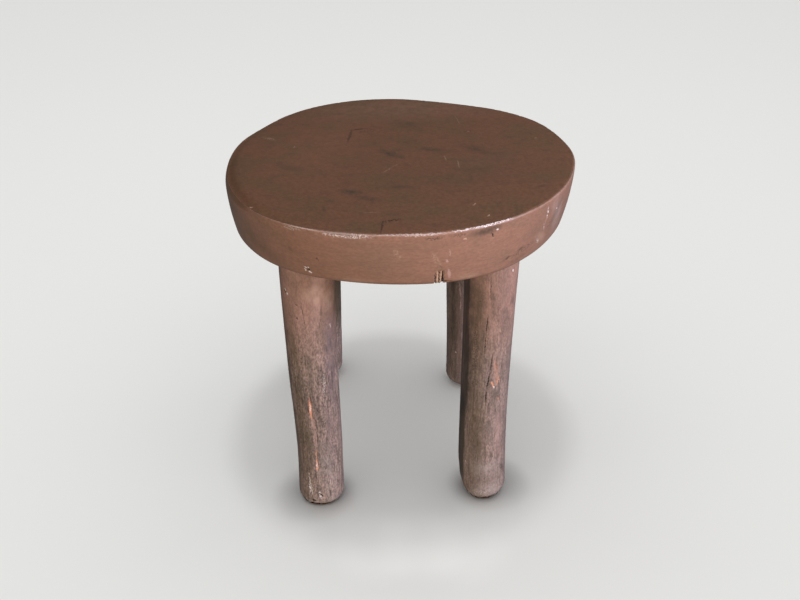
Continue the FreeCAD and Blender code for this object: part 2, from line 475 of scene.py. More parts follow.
@dataclass(frozen=True)
class AgedWood:
    """A finish for old handled wood: streaked along its grain, smudged, and open where it is marked.

    Colours are linear. The grain's and the fleck's sizes are lengths along each axis, in millimetres. The
    smooth colours show where the mesh's own share called smooth is 1: the seat's top and the legs' heads.
    Flecks are how strongly the small light and dark spots show on rough and on smooth wood. Drift is the
    size of the smudged patches, and blots are how dark the smaller stains on smooth wood are. Dullness is
    how much rougher smooth wood is, and sheen how strongly it mirrors, both on a top of its own.

    The pairs below the fields are the noise's values between which a look comes in, and a face takes the
    top's material where it is smooth from top_from up.
    """

    name: str
    slot: str
    body: Colour
    streak: Colour
    smudge: Colour
    smooth_body: Colour
    smooth_smudge: Colour
    worn: Colour
    grain: Size
    fleck: Size
    flecks: Range
    roughness: Range
    relief: float
    drift: Size = (48.0, 34.0, 40.0)
    crevices: float = 0.0
    polish: float = 0.0
    blots: float = 0.0
    dullness: float = 0.0
    sheen: float = USUAL_SHEEN

    streaked = (0.42, 0.62)
    smudged = (0.46, 0.68)
    smooth_streaked = (0.35, 0.75, 0.0, 0.5)
    smooth_smudged = (0.42, 0.66)
    flecked = (0.32, 0.68)
    light_flecks = 0.8
    glossed = (0.7, 1.3)
    grain_relief = 0.5
    fine_relief = 0.4
    crevice_shade = 0.75
    closed_where_smooth = 0.85
    top_from = 0.95

    def dress(self, piece: bpy.types.Object, marks: Sequence[Mark], radius: float) -> None:
        """Makes the material for one piece with its marks and puts it on.

        A piece with marks on its top gets a second material there, with the same wood and only those
        marks, because one material can't hold them all.

        Args:
            piece: The mesh object, with its attributes and its unrolled map.
            marks: The marks of the piece.
            radius: The radius at which its side is unrolled.
        """
        mesh = piece.data
        mesh.materials.clear()
        for face in Face:
            chosen = [mark for mark in marks if mark.face is face]
            if chosen or face is Face.SIDE:
                mesh.materials.append(self.mix_material(piece.name, face, chosen, radius))
        if len(mesh.materials) > 1:
            smooth = np.empty(len(mesh.vertices), dtype=np.float32)
            mesh.attributes["smooth"].data.foreach_get("value", smooth)
            corners = np.empty(len(mesh.loops), dtype=np.int32)
            mesh.loops.foreach_get("vertex_index", corners)
            starts = np.empty(len(mesh.polygons), dtype=np.int32)
            mesh.polygons.foreach_get("loop_start", starts)
            on_top = np.minimum.reduceat(smooth[corners], starts) > self.top_from
            mesh.polygons.foreach_set("material_index", on_top.astype(np.int32))

    def mix_material(self, piece: str, face: Face, marks: Sequence[Mark],
                     radius: float) -> bpy.types.Material:
        """Makes one material of this wood.

        Args:
            piece: The piece's name, which the material's name holds.
            face: The face that it is for.
            marks: The marks that it shows.
            radius: The radius at which the side is unrolled.

        Returns:
            The material.
        """
        bench = Bench("_".join((self.name, piece, face.name.lower())))
        smooth = bench.attribute("smooth")
        grain = bench.noise(self.grain, detail=5.0, distortion=0.3)
        fine = bench.noise(self.fleck, detail=4.0, shift=7.0)
        drift = bench.noise(self.drift, detail=6.0, distortion=0.4, shift=3.0)
        rough_wood = bench.mix(bench.between(grain, *self.streaked), self.body, self.streak)
        rough_wood = bench.mix(bench.between(drift, *self.smudged), rough_wood, self.smudge)
        smooth_wood = bench.mix(bench.between(grain, *self.smooth_streaked), self.smooth_body,
                                self.smooth_smudge)
        smooth_wood = bench.mix(bench.between(drift, *self.smooth_smudged), smooth_wood, self.smooth_smudge)
        colour = bench.mix(smooth, rough_wood, smooth_wood)
        colour = bench.vector("MULTIPLY", colour, self.flecking(bench, fine, smooth))
        if self.blots:
            spots = bench.math("MULTIPLY", bench.pattern(BLOTS), smooth)
            colour = bench.mix(bench.math("MULTIPLY", spots, self.blots), colour, MARK_TONES[Tone.STAIN])
        # Pale edges: rubbed wear, with a painted highlight on the seat's rim.
        worn = self.edge_wear_and_highlight(bench)
        colour = bench.mix(worn, colour, self.worn)
        shake = Shake.on(bench)
        for tone in Tone:
            share = bench.mask(marks, radius, tone, shake)
            if share is not None:
                colour = bench.mix(share, colour, MARK_TONES[tone])
        height = bench.math("ADD", bench.math("MULTIPLY", grain, self.grain_relief),
                            bench.math("MULTIPLY", fine, self.fine_relief))
        if self.crevices:
            gap = self.crevice(bench, smooth)
            colour = bench.mix(bench.math("MULTIPLY", gap, self.crevice_shade), colour,
                               MARK_TONES[Tone.STAIN])
            height = bench.math("SUBTRACT", height, gap)
        duller = self.dullness if face is Face.TOP else 0.0
        gloss = bench.between(bench.math("ADD", fine, drift), *self.glossed,
                              *(rough + duller for rough in self.roughness))
        gloss = bench.math("SUBTRACT", gloss, bench.math("MULTIPLY", worn, self.polish))
        bump = bench.node("ShaderNodeBump", {"Height": height, "Strength": 1.0,
                                             "Distance": self.relief * MM}).outputs[0]
        wood = bench.node("ShaderNodeBsdfPrincipled", {
            "Base Color": colour, "Roughness": gloss, "Normal": bump, "IOR": 1.45,
            "Specular IOR Level": self.sheen if face is Face.TOP else USUAL_SHEEN})
        bench.node("ShaderNodeOutputMaterial", {"Surface": wood.outputs[0]})
        return bench.material

    def flecking(self, bench: Bench, fine: Socket, smooth: Socket) -> Socket:
        """How light or dark each small spot is, as a factor on its colour.

        Formula: 1 - f at the noise's lows and 1 + 0.8 f at its highs, with f from the rough wood's flecks
        to the smooth wood's.

        Args:
            bench: The material's bench.
            fine: The fine noise.
            smooth: Where the wood is smooth, from 0 to 1.

        Returns:
            The factor.
        """
        on_rough, on_smooth = (
            bench.between(fine, *self.flecked, 1 - share, 1 + self.light_flecks * share)
            for share in self.flecks)
        return bench.node("ShaderNodeMix", {0: smooth, 2: on_rough, 3: on_smooth}).outputs[0]

    def crevice(self, bench: Bench, smooth: Socket) -> Socket:
        """Short dark gaps along the grain, fewer where the wood is smooth.

        Args:
            bench: The material's bench.
            smooth: Where the wood is smooth, from 0 to 1.

        Returns:
            The share of gap, from 0 to 1.
        """
        closed = bench.math("MULTIPLY", smooth, self.closed_where_smooth)
        open_wood = bench.math("SUBTRACT", 1.0, closed)
        both = bench.math("MAXIMUM", bench.pattern(GAPS), bench.pattern(PITS))
        return bench.math("MULTIPLY", both, bench.math("MULTIPLY", open_wood, self.crevices))

    def edge_wear_and_highlight(self, bench: Bench) -> Socket:
        """Where the edges are pale, from handling's wear and, on the seat's rim, a painted highlight: the
        mesh's own share, broken up by fine noise.
        """
        return bench.math("MULTIPLY", bench.attribute("worn"), bench.pattern(RUBBING))


def add_object(name: str, data: bpy.types.ID) -> bpy.types.Object:
    """A new object that holds the data, linked to the scene."""
    made = bpy.data.objects.new(name, data)
    bpy.context.scene.collection.objects.link(made)
    return made


def middle_of(solid: str) -> Vector:
    """The middle of a solid's box, in metres."""
    low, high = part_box(solid)
    return (low + high) / 2


def make_piece(name: str, points: np.ndarray, faces: List[Sequence[int]], flat_map: np.ndarray,
               shares: Dict[str, np.ndarray]) -> bpy.types.Object:
    """A mesh object at the origin, in metres, smooth shaded, with its attributes and unrolled map.

    Args:
        name: The object's name.
        points: Its vertices, in millimetres.
        faces: The vertex numbers of each face.
        flat_map: For each corner of each face in order, its place on the unrolled side, in millimetres.
        shares: Numbers at each vertex, by attribute name.

    Returns:
        The object, linked to the scene.
    """
    mesh = bpy.data.meshes.new(name)
    mesh.from_pydata(points * MM, [], faces)
    unrolled = mesh.uv_layers.new(name="unrolled")
    unrolled.data.foreach_set("uv", (flat_map * MM).astype(np.float32).ravel())
    for key, values in shares.items():
        attribute = mesh.attributes.new(key, "FLOAT", "POINT")
        attribute.data.foreach_set("value", values.astype(np.float32))
    mesh.shade_smooth()
    return add_object(name, mesh)


def ring_faces(rings: int, columns: int) -> np.ndarray:
    """Quads of a grid whose rings close on themselves.

    The last column is written as one past the end, so that the unrolled map can tell it from the first.

    Args:
        rings: How many rings the grid has.
        columns: How many places each ring has.

    Returns:
        For each quad the (ring, column) pair of each corner.
    """
    ring, column = np.meshgrid(np.arange(rings - 1), np.arange(columns), indexing="ij")
    corners = [(ring, column), (ring, column + 1), (ring + 1, column + 1), (ring + 1, column)]
    return np.stack([np.stack(corner, axis=-1) for corner in corners], axis=-2).reshape(-1, 4, 2)


def vertex_numbers(quads: np.ndarray, columns: int) -> np.ndarray:
    """The vertex numbers of quads given as (ring, column) pairs, in a grid with so many columns."""
    return quads[..., 0] * columns + quads[..., 1] % columns


def fan(tip: int, first: int, columns: int) -> np.ndarray:
    """Triangles from one vertex to the ring of vertices that starts at a number, facing down."""
    column = np.arange(columns)
    return np.stack((np.full(columns, tip), first + (column + 1) % columns, first + column), axis=-1)


def unroll(quads: np.ndarray, bearing: np.ndarray, radius: float, run: np.ndarray) -> np.ndarray:
    """Where the corners of quads lie on the unrolled side.

    Args:
        quads: The (ring, column) pair of each corner.
        bearing: The columns' bearings.
        radius: The radius at which the side is unrolled.
        run: How far up the side each ring lies.

    Returns:
        One place for each corner, in millimetres.
    """
    arc = np.radians(np.append(bearing, bearing[0] + 360)) * radius
    return np.stack((arc[quads[..., 1]], run[quads[..., 0]]), axis=-1).reshape(-1, 2)


def rings_about(middle: Sequence[Amount], out: Amount, turn: np.ndarray, height: Amount) -> np.ndarray:
    """Places around an upright line, which may lean and bend.

    Formula: x is the line's own plus out cos turn, y the line's own plus out sin turn.

    Args:
        middle: The line's x and y, as numbers or arrays.
        out: How far from the line each place is.
        turn: Its bearing in radians.
        height: Its height.

    Returns:
        The places, with x, y and z last.
    """
    places = (middle[0] + out * np.cos(turn), middle[1] + out * np.sin(turn), height)
    return np.stack(np.broadcast_arrays(*places), axis=-1)


@dataclass(frozen=True)
class Profile:
    """The rings of a turned shape, from the bottom to the top: how far up, in from the side, and out.

    Reach is the share of the way from the axis to the outline, and run is the distance along the surface
    from the piece's lowest edge, which goes on past the top edge.
    """

    up: np.ndarray
    inset: np.ndarray
    reach: np.ndarray
    run: np.ndarray


@dataclass(frozen=True)
class Joint:
    """The blind tenon and its socket, which the seat and the legs share."""

    radius: float = 15.0
    root: float = 8.0
    spread: float = 1.5
    kerf: float = 1.6
    gap: float = 0.2
    socket_sides: int = 64
    overrun: float = 5.0


JOINT = Joint()


@dataclass
class Seat:
    """The thick round seat: hewn by hand, drawn in towards its underside, worn pale along its rim, with a
    painted highlight laid on that wear.

    The rim's and the lower edge's shares are of the radius, at even steps of a turn, and the rim's
    softness and paleness are given at such steps too; the paleness is rubbed wear with a painted highlight
    in it. The wood counts as top from smooth_from in from the side, fully so at a share of the rim's
    rounding. On the unrolled map the faces that close the mesh lie at cap_level radii, where there are no
    marks.
    """

    radius: float = 166.0
    side_taper: float = 7.5
    side_belly: float = 1.7
    rim_rounding: float = 2.8
    lower_rounding: float = 4.0
    columns: int = 600
    lower_rings: int = 8
    side_rings: int = 62
    rim_rings: int = 15
    top_rings: int = 58
    top_crowding: float = 1.6
    crowding: float = 0.45
    facets: Waves = Waves(0.30, (38.0, 38.0, 60.0), 3)
    rasping: Waves = Waves(0.03, (9.0, 9.0, 3.2), 5)
    top_waves: Waves = Waves(0.25, (70.0, 26.0, 500.0), 9)
    nibbling: Waves = Waves(1.0, (3.0, 3.0, 2.5), 13)
    roughness: Waves = Waves(1.0, (1.6, 1.6, 1.6), 17)
    hewn_depth: float = 0.3
    hewn_from: float = 3.0
    nibble_depth: float = 0.25
    nibbled: Range = (0.15, 0.8)
    rubbed_below: Range = (6.0, 2.0)
    soft_depth: float = 1.5
    soft_reach: float = 5.5
    rim_band_middle: float = 0.9
    rim_band_reach: float = 0.6
    smooth_from: float = 0.5
    smooth_share: float = 0.8
    cap_level: float = 3.0

    rim_shares = (0.994, 0.993, 1.007, 0.991, 0.964, 0.953, 0.987, 1.007, 1.017, 1.009, 0.984, 0.993,
                  0.993, 1.006, 1.020, 1.033, 1.027, 1.007, 0.992, 0.994, 0.993, 0.990, 0.985, 0.987)
    lower_shares = (0.980, 0.984, 0.996, 0.983, 0.960, 0.954, 0.976, 0.993, 1.004, 1.004, 0.989, 0.992,
                    1.002, 1.017, 1.030, 1.037, 1.021, 0.998, 0.993, 1.004, 1.006, 0.989, 0.977, 0.979)
    rim_softness = (0.1, 0.1, 0.0, 0.2, 0.1, 0.0, 0.3, 0.6, 1.2, 2.0, 1.5, 0.3, 0.0, 0.0, 0.0, 0.1)
    # Rim paleness by bearing: rubbed wear with a painted highlight, least at the left.
    rim_rub_and_highlight = (0.3, 0.3, 0.3, 0.3, 0.4, 0.4, 0.3, 0.10, 0.0, 0.0, 0.25, 0.65, 0.55, 0.45, 0.38, 0.3)
    under_reach = (0.05, 0.15, 0.3, 0.45, 0.6, 0.72, 0.82, 0.9, 0.96)

    def __post_init__(self) -> None:
        """Takes the heights from the solid."""
        low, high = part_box("seat")
        self.underside = low.z / MM
        self.thickness = (high.z - low.z) / MM

    def profile(self) -> Profile:
        """Rings along the underside, the lower rounding, the side, the rim rounding and the top.

        Formula: a quarter round of radius r at angle a lies r(1 - sin a) in from the side and
        r(1 - cos a) up from its end. The top's rings lie at 1 - t^p of the way out, for t from 0 to 1 and
        the top's crowding p.

        Returns:
            The rings.
        """
        lower = np.linspace(0, math.pi / 2, self.lower_rings)
        rim = np.linspace(math.pi / 2, 0, self.rim_rings)
        side = np.linspace(self.lower_rounding, self.thickness - self.rim_rounding, self.side_rings)[1:-1]
        top_reach = 1 - np.linspace(0, 1, self.top_rings)[1:-1] ** self.top_crowding
        under, top = np.ones(len(self.under_reach)), np.ones(len(top_reach))
        up = np.concatenate((0 * under, self.lower_rounding * (1 - np.cos(lower)), side,
                             self.thickness - self.rim_rounding * (1 - np.cos(rim)), self.thickness * top))
        inset = np.concatenate((self.lower_rounding * under, self.lower_rounding * (1 - np.sin(lower)),
                                np.zeros(len(side)), self.rim_rounding * (1 - np.sin(rim)),
                                self.rim_rounding * top))
        edge = np.ones(len(lower) + len(side) + len(rim))
        reach = np.concatenate((self.under_reach, edge, top_reach))
        run = up - (1 - reach) * self.radius * np.where(up < self.thickness / 2, 1, -1)
        return Profile(up, inset, reach, run)

    def bearings(self) -> np.ndarray:
        """The columns' bearings, closer together at the front, where the photograph looks.

        Formula: 90 + 360t + 360k sin(2 pi t) / (2 pi), for t from 0 to 1 and crowding k.

        Returns:
            One bearing for each column.
        """
        turn = np.arange(self.columns) / self.columns
        crowd = self.crowding * np.sin(math.tau * turn) / math.tau
        return SEAM_BEARING + 360 * (turn + crowd)

    def build(self) -> bpy.types.Object:
        """Carves the seat: the surface over bearing and profile, its hewing, its marks and its sockets.

        Returns:
            The seat before its finish, standing for its solid.
        """
        profile = self.profile()
        bearing = self.bearings()
        way_up = profile.up / self.thickness
        rim = round_curve(self.rim_shares, bearing)[None, :]
        lower = round_curve(self.lower_shares, bearing)[None, :]
        shares = lower + (rim - lower) * way_up[:, None]
        belly = 4 * self.side_belly * way_up * (1 - way_up)
        reached = self.radius - self.side_taper * (1 - way_up) - profile.inset + belly
        out = shares * (reached * profile.reach)[:, None]
        height = (self.underside + profile.up)[:, None]
        points = rings_about((0.0, 0.0), out, np.radians(bearing)[None, :], height)
        bearings = np.broadcast_to(bearing[None, :], out.shape)
        heights = np.broadcast_to(profile.up[:, None], out.shape)
        moved = self.hewing(points, bearings, heights, profile)[..., None]
        return self.finish(points + grid_normals(points) * moved, bearing, profile)

    def hewing(self, points: np.ndarray, bearing: np.ndarray, height: np.ndarray,
               profile: Profile) -> np.ndarray:
        """How far the tools, the grain and years of use have moved each place of the surface.

        Args:
            points: The smooth surface.
            bearing: The bearing of each place.
            height: The height of each place above the underside.
            profile: The rings.

        Returns:
            The distance along the outward normal.
        """
        on_side = (profile.reach == 1.0).astype(float)[:, None]
        above = smooth_step(height, 0.0, self.hewn_from)
        facets = (self.facets.over(points) + self.rasping.over(points)) * on_side
        top_waves = self.top_waves.over(points) * (1 - on_side)
        rubbed = smooth_step(height, *(self.thickness - below for below in self.rubbed_below)) * on_side
        nibbles = self.nibble_depth * rubbed * smooth_step(self.nibbling.over(points), *self.nibbled)
        rough = self.roughness.over(points)
        cut = sinking(SEAT_MARKS, bearing, height, self.radius, rough) * on_side
        at_rim = np.exp(-((profile.run - self.thickness) / self.soft_reach) ** 2)[:, None]
        rounded = self.soft_depth * at_rim * round_curve(self.rim_softness, bearing)
        return above * (facets + top_waves - self.hewn_depth - nibbles - rounded) - cut

    def finish(self, points: np.ndarray, bearing: np.ndarray, profile: Profile) -> bpy.types.Object:
        """Closes the grid with a point at each end, makes the seat and cuts its sockets.

        Args:
            points: The grid of the carved surface.
            bearing: The columns' bearings.
            profile: The rings.

        Returns:
            The seat before its finish.
        """
        rings, columns = points.shape[:2]
        ends = np.array((points[0].mean(axis=0), points[-1].mean(axis=0)))
        quads = ring_faces(rings, columns)
        bottom = fan(rings * columns, 0, columns)
        top = fan(rings * columns + 1, (rings - 1) * columns, columns)[:, ::-1]
        faces = vertex_numbers(quads, columns).tolist() + bottom.tolist() + top.tolist()
        caps = np.full((bottom.size + top.size, 2), self.cap_level * self.radius)
        flat_map = np.concatenate((unroll(quads, bearing, self.radius, profile.run), caps))
        upper = profile.up > self.thickness / 2
        on_top = upper * smooth_step(profile.inset, self.smooth_from, self.smooth_share * self.rim_rounding)
        shares = {"smooth": np.append(np.repeat(on_top, columns), (0.0, 1.0)),
                  # The seat's worn share is its rim's rubbed wear with a painted highlight.
                  "worn": np.append(self.rim_rub_and_highlight_share(bearing, profile).ravel(), (0.0, 0.0))}
        seat = make_piece("carved_seat", np.concatenate((points.reshape(-1, 3), ends)), faces, flat_map,
                          shares)
        self.cut_sockets(seat)
        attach(seat, "root")
        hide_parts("seat")
        return seat

    def rim_rub_and_highlight_share(self, bearing: np.ndarray, profile: Profile) -> np.ndarray:
        """How pale the rim is at each place, rubbed and with a painted highlight: most at the front, least
        at the left.

        Formula: a bell over the rim rounding, times a share that the bearing gives.
        """
        on_rim = np.exp(-((profile.run - self.thickness + self.rim_band_middle) / self.rim_band_reach) ** 2)
        return on_rim[:, None] * round_curve(self.rim_rub_and_highlight, bearing)[None, :]

    def cut_sockets(self, seat: bpy.types.Object) -> None:
        """Takes a round socket out of the underside over each leg, undercut above the tenon's root.

        Args:
            seat: The carved seat, whose mesh is replaced.
        """
        points: List[Sequence[float]] = []
        faces: List[Sequence[int]] = []
        sides = JOINT.socket_sides
        turn = np.arange(sides) / sides * math.tau
        root = self.underside + JOINT.root
        for leg in LEGS:
            centre = middle_of("wedge_" + leg.place) / MM
            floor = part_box("wedge_" + leg.place)[1].z / MM
            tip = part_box("leg_" + leg.place)[1].z / MM
            start = len(points)
            levels = (self.underside - JOINT.overrun, root, floor)
            for level in levels:
                undercut = JOINT.spread * max(level - root, 0) / (tip - root)
                points += rings_about(centre, JOINT.radius + JOINT.gap + undercut, turn, level).tolist()
            faces += (start + vertex_numbers(ring_faces(len(levels), sides), sides)).tolist()
            faces.append(list(range(start + sides - 1, start - 1, -1)))
            faces.append(list(range(start + 2 * sides, start + 3 * sides)))
        mesh = bpy.data.meshes.new("socket_cutters")
        mesh.from_pydata(np.array(points) * MM, [], faces)
        cutter = add_object("socket_cutters", mesh)
        carve = seat.modifiers.new("sockets", "BOOLEAN")
        carve.operation = "DIFFERENCE"
        carve.object = cutter
        carve.solver = "EXACT"
        bpy.context.view_layer.update()
        evaluated = seat.evaluated_get(bpy.context.evaluated_depsgraph_get())
        carved = bpy.data.meshes.new_from_object(evaluated)
        seat.modifiers.clear()
        seat.data = carved
        bpy.data.objects.remove(cutter)


@dataclass(frozen=True)
class Leg:
    """One hand-cut leg, described by how it departs from a plain pole.

    The lean is how far its foot stands from under its head, in millimetres. The girth and bend are shares
    of the pole's radius and bend at its section heights, and the outline is a share of its radius at even
    steps of a turn.
    """

    place: str
    lean: Place
    girth: Tuple[float, ...]
    bend: Tuple[float, ...]
    outline: Tuple[float, ...]
    marks: Tuple[Mark, ...]
    seed: int
    foot_rounding: float = 11.0
    worn_corner: bool = False


@dataclass
class Pole:
    """What the four legs share, and the making of each: pole, rounded foot, shoulder and split tenon.

    The worn fields shape a foot's worn corner, and a foot is rough from its full height up to a share of
    its rounding. The head band lies below the shoulder, and the smooth band is in shares of the pole's
    height. On the unrolled map the tenon and the faces that close the mesh lie at levels in such shares,
    where there are no marks.
    """

    radius: float = 24.4
    bend: float = 1.7
    easing: float = 0.05
    worn_height: float = 28.0
    worn_depth: float = 14.0
    worn_start: float = 1.5
    worn_power: float = 1.5
    worn_ease: float = 2.5
    worn_straight: float = 8.0
    columns: int = 264
    foot_rings: int = 13
    side_rings: int = 318
    facets: Waves = Waves(0.40, (17.0, 17.0, 80.0), 0)
    ridges: Waves = Waves(0.13, (2.3, 2.3, 42.0), 1)
    fibres: Waves = Waves(0.08, (1.3, 1.3, 16.0), 2)
    splits: Waves = Waves(1.0, (3.4, 3.4, 75.0), 3)
    roughness: Waves = Waves(1.0, (1.5, 1.5, 2.5), 4)
    scales: Waves = Waves(0.06, (2.2, 2.2, 4.6), 5)
    worn_waves: Waves = Waves(0.4, (6.0, 6.0, 6.0), 61)
    shake_depth: float = 0.30
    shaken: Range = (0.62, 0.88)
    foot_depth: float = 0.22
    foot_share: float = 1.6
    foot_full: float = 1.0
    proud: float = 0.1
    head_grain: float = 0.35
    head_band: Range = (20.0, 120.0)
    smooth_band: Range = (0.54, 0.90)
    pale_foot: float = 9.0
    paleness: float = 0.6
    tenon_level: float = 1.2
    hidden_level: float = 10.0

    section_shares = (0.0, 0.12, 0.25, 0.38, 0.52, 0.66, 0.82, 1.0)
    sole_reach = (0.1, 0.4, 0.75)

    def __post_init__(self) -> None:
        """Takes the shoulder's height from the seat's solid."""
        self.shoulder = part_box("seat")[0].z / MM

    def build(self, leg: Leg) -> bpy.types.Object:
        """Shapes one leg and returns it, standing for its solid.

        Args:
            leg: What makes this leg differ from the others.

        Returns:
            The leg, before its finish.
        """
        head = middle_of("wedge_" + leg.place) / MM
        bearing = SEAM_BEARING + 360 * (np.arange(self.columns) + 0.5) / self.columns
        rounding = np.linspace(0, math.pi / 2, self.foot_rings)
        base = leg.foot_rounding
        sole = np.ones(len(self.sole_reach))
        rise = np.linspace(base, self.shoulder, self.side_rings)[1:]
        up = np.concatenate((0 * sole, base * (1 - np.cos(rounding)), rise))
        inset = np.concatenate((base * sole, base * (1 - np.sin(rounding)), np.zeros(len(rise))))
        reach = np.concatenate((self.sole_reach, np.ones(len(up) - len(sole))))
        way_up = up / self.shoulder
        girth = self.radius * eased_table(way_up, self.section_shares, leg.girth, self.easing)
        bend = self.bend * eased_table(way_up, self.section_shares, leg.bend, self.easing)
        out = ((girth - inset) * reach)[:, None] * round_curve(leg.outline, bearing)[None, :]
        middle = ((head.x + leg.lean[0] * (1 - way_up) + bend)[:, None],
                  (head.y + leg.lean[1] * (1 - way_up))[:, None])
        points = rings_about(middle, out, np.radians(bearing)[None, :], up[:, None])
        bearings = np.broadcast_to(bearing[None, :], out.shape)
        points = points + grid_normals(points) * self.weathering(leg, points, bearings)[..., None]
        if leg.worn_corner:
            points[..., 0] = self.worn_side(points, middle[0][0, 0] - girth[0])
        points[up == 0, :, 2] = 0
        points[..., 2] = np.maximum(points[..., 2], 0)
        points[-1, :, 2] = self.shoulder
        return self.finish(leg, points, bearing, up, head)

    def weathering(self, leg: Leg, points: np.ndarray, bearing: np.ndarray) -> np.ndarray:
        """How far the adze, the open grain and the marks have moved each place of the pole.

        Args:
            leg: The leg, for its seed and marks.
            points: The smooth pole.
            bearing: The bearing of each place.

        Returns:
            The distance along the outward normal.
        """
        height = points[..., 2]
        facets, ridges, fibres, splits, rough, scales = (
            waves.over(points, leg.seed) for waves in
            (self.facets, self.ridges, self.fibres, self.splits, self.roughness, self.scales))
        opened = smooth_step(self.shoulder - height, *self.head_band)
        open_grain = self.head_grain + (1 - self.head_grain) * opened
        shakes = self.shake_depth * smooth_step(splits, *self.shaken)
        grain = (ridges + fibres + scales - shakes) * open_grain
        foot = smooth_step(-height, -leg.foot_rounding * self.foot_share, -self.foot_full)
        cut = sinking(leg.marks, bearing, height, self.radius, rough)
        return facets + grain + self.foot_depth * foot * rough + self.proud - cut

    def worn_side(self, points: np.ndarray, left: float) -> np.ndarray:
        """Slants the left of a foot, as if years of standing tilted had worn it away.

        Formula: x is at least left - start + depth (1 - z / height)^power, blended over a few
        millimetres by e log(1 + exp(over / e)).

        Args:
            points: The pole.
            left: Where the foot's left is.

        Returns:
            The new x of each place.
        """
        way_down = np.clip(1 - points[..., 2] / self.worn_height, -1, 1)
        slant = np.sign(way_down) * np.abs(way_down) ** self.worn_power
        plane = left - self.worn_start + self.worn_depth * slant + self.worn_waves.over(points)
        over = (points[..., 0] - plane) / self.worn_ease
        eased = np.log1p(np.exp(np.minimum(over, self.worn_straight)))
        return plane + self.worn_ease * np.where(over > self.worn_straight, over, eased)

    def tenon(self, bearing: np.ndarray, head: Vector, tip: float) -> np.ndarray:
        """The rings of the split tenon, from the shoulder up its outside and down into its split.

        Formula: in each half the bearings are drawn back from the split by asin(kerf / 2 radius), and the
        half leans outwards above the root, by the spread at the tip.

        Args:
            bearing: The columns' bearings.
            head: The middle of the tenon, in millimetres.
            tip: The height of its tip.

        Returns:
            Six rings of places.
        """
        step = 360 / self.columns
        around = bearing % 360
        half = np.floor(around / 180)
        edge = math.asin(JOINT.kerf / 2 / JOINT.radius)
        share = (around - 180 * half - step / 2) / (180 - step)
        turn = math.pi * half + edge + share * (math.pi - 2 * edge)
        whole = np.radians(bearing)
        x, y = JOINT.radius * np.cos(turn), JOINT.radius * np.sin(turn)
        side = 1 - 2 * half
        wall, spread = side * JOINT.kerf / 2, side * JOINT.spread
        root = self.shoulder + JOINT.root
        path = ((JOINT.radius * np.cos(whole), JOINT.radius * np.sin(whole), self.shoulder), (x, y, root),
                (x, y + spread, tip), (x, (y + wall) / 2 + spread, tip), (x, wall + spread, tip),
                (x, wall, root))
        return np.array([np.stack((head.x + right, head.y + back, np.full(self.columns, level)), axis=-1)
                         for right, back, level in path])

    def finish(self, leg: Leg, points: np.ndarray, bearing: np.ndarray, up: np.ndarray,
               head: Vector) -> bpy.types.Object:
        """Adds the tenon, closes the mesh and makes the object.

        Above the tenon's root no face joins its two halves, and the split's floor joins each column to
        the one across the split, which is columns / 2 - 1 less its own number.

        Args:
            leg: The leg.
            points: The grid of the pole.
            bearing: The columns' bearings.
            up: The height of each ring.
            head: The middle of the shoulder, in millimetres.

        Returns:
            The leg.
        """
        columns = self.columns
        grid = np.concatenate((points, self.tenon(bearing, head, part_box("leg_" + leg.place)[1].z / MM)))
        quads = ring_faces(len(grid), columns)
        halved = quads[:, 0, 0] > len(points)
        between_halves = np.isin(quads[:, 0, 1], (columns // 4 - 1, 3 * columns // 4 - 1))
        quads = quads[~(halved & between_halves)]
        front = np.arange(columns // 4, 3 * columns // 4 - 1)
        across = (columns // 2 - 1 - front) % columns
        bed = np.stack((front, front + 1, (across - 1) % columns, across), axis=-1)
        bed = bed + (len(grid) - 1) * columns
        sole = fan(len(grid) * columns, 0, columns)
        faces = vertex_numbers(quads, columns).tolist() + bed.tolist() + sole.tolist()
        flat = np.concatenate((grid.reshape(-1, 3), grid[0].mean(axis=0)[None, :]))
        levels = np.append(up, np.full(len(grid) - len(up), self.tenon_level * self.shoulder))
        hidden = np.full((bed.size + sole.size, 2), self.hidden_level * self.shoulder)
        flat_map = np.concatenate((unroll(quads, bearing, self.radius, levels), hidden))
        upper = smooth_step(levels, *(share * self.shoulder for share in self.smooth_band))
        foot = self.paleness * np.exp(-(levels / self.pale_foot) ** 2)
        made = make_piece("carved_leg_" + leg.place, flat, faces, flat_map,
                          {"smooth": np.append(np.repeat(upper, columns), 0.0),
                           "worn": np.append(np.repeat(foot, columns), 0.0)})
        weld(made)
        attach(made, "root")
        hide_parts("leg_" + leg.place)
        return made


def weld(piece: bpy.types.Object) -> None:
    """Joins the vertices of a mesh that lie on one another.

    Args:
        piece: The mesh object.
    """
    shape = bmesh.new()
    shape.from_mesh(piece.data)
    bmesh.ops.remove_doubles(shape, verts=shape.verts, dist=WELD_REACH)
    shape.to_mesh(piece.data)
    shape.free()


